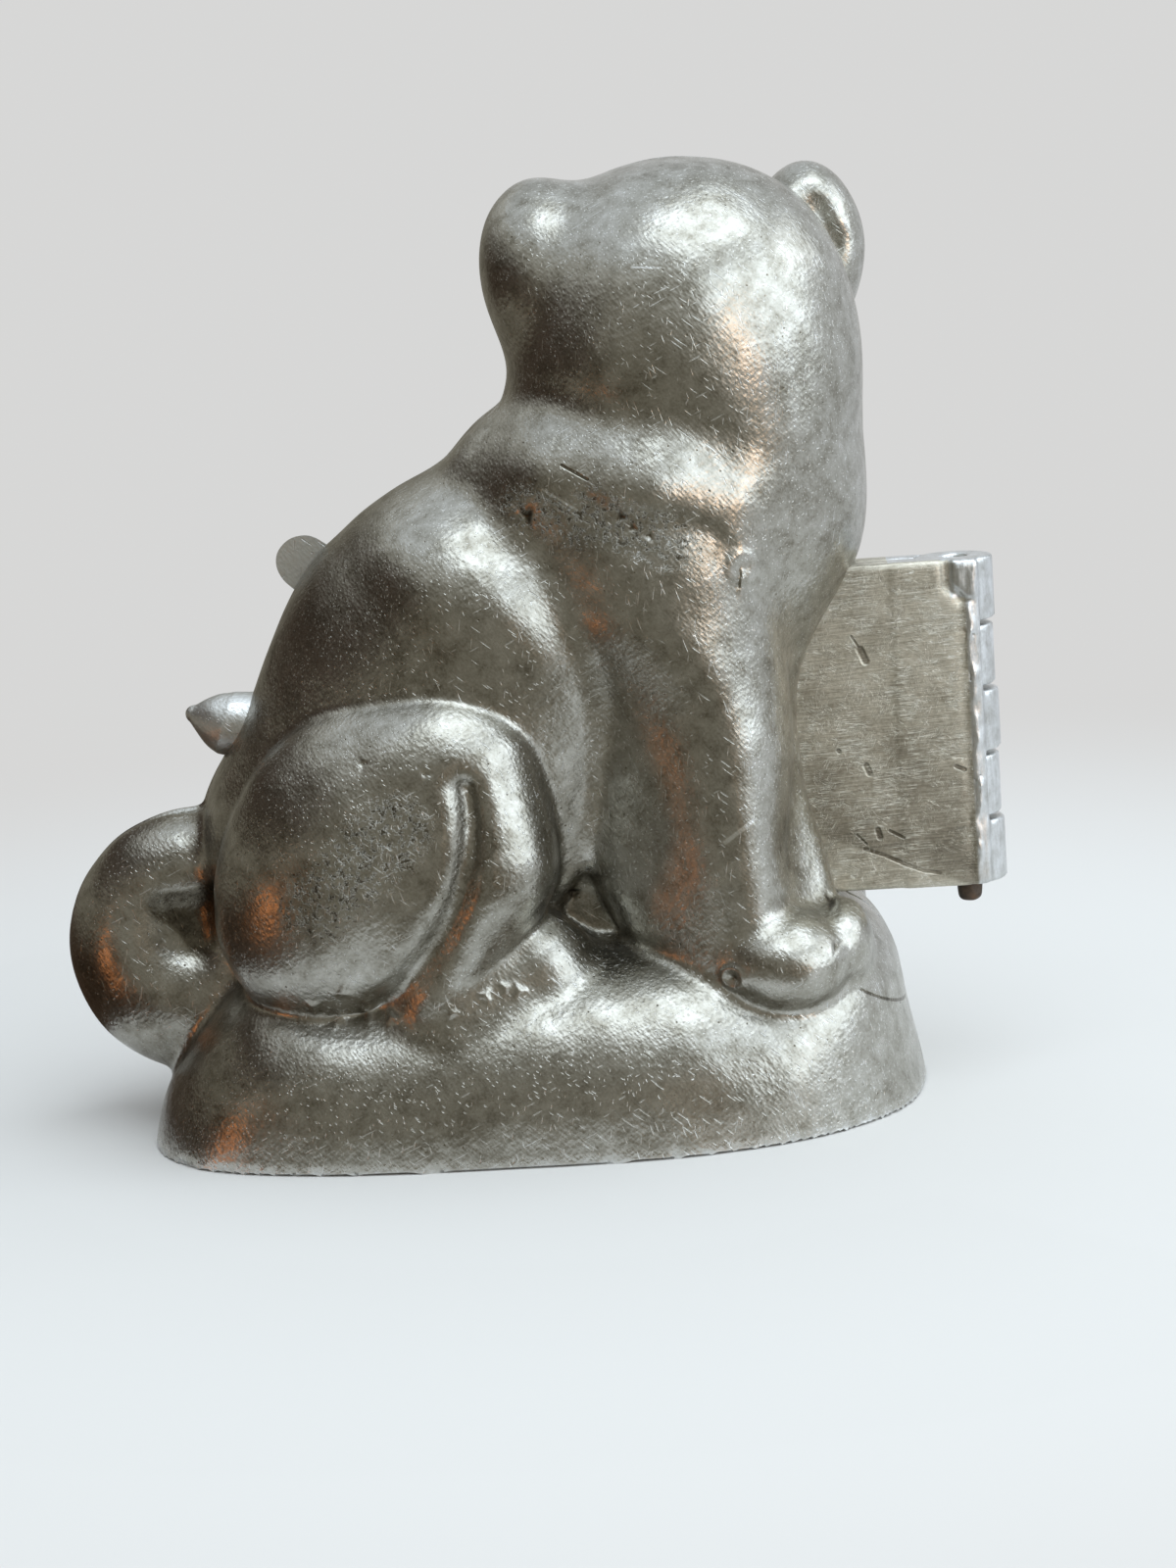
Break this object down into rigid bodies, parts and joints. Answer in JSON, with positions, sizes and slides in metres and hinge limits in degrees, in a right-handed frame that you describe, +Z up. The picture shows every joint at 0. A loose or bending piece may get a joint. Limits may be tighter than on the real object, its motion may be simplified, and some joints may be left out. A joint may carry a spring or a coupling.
{
  "type": "hinged ice cream mould",
  "caption": "Hollow cast pewter mould in the shape of a dog seated on a cushion; its halves open on a side hinge with interleaved knuckles on an iron pin.",
  "frame": {"origin": "on the surface that the cushion stands on, under the middle of the closed mould, in the plane where the halves part", "axes": "+X towards the dog's chest and the hinge, +Y out of the half that carries the dog's face (the front half), +Z up"},
  "size_m": [0.0966, 0.0537, 0.0946],
  "materials": {
    "worn_pewter": "worn, half-polished grey pewter",
    "filed_pewter": "dull pewter with file marks",
    "cast_knuckle_pewter": "rough-cast pewter",
    "dark_iron": "dark, lightly rusted"
  },
  "bodies": {
    "back_half": {"back_shell": "worn_pewter", "back_hinge_plate": "filed_pewter", "back_knuckle_strip": "cast_knuckle_pewter", "hinge_pin": "dark_iron", "back_pry_lug": "worn_pewter"},
    "front_half": {"front_shell": "worn_pewter", "front_hinge_plate": "filed_pewter", "front_knuckle_strip": "cast_knuckle_pewter", "front_pry_lug": "worn_pewter"}
  },
  "joints": [
    {"name": "mould_hinge", "type": "hinge", "parent": "back_half", "child": "front_half", "pos_m": [0.044, 0, 0.03685], "axis": [0, 0, -1], "range_deg": [0, 180]}
  ]
}
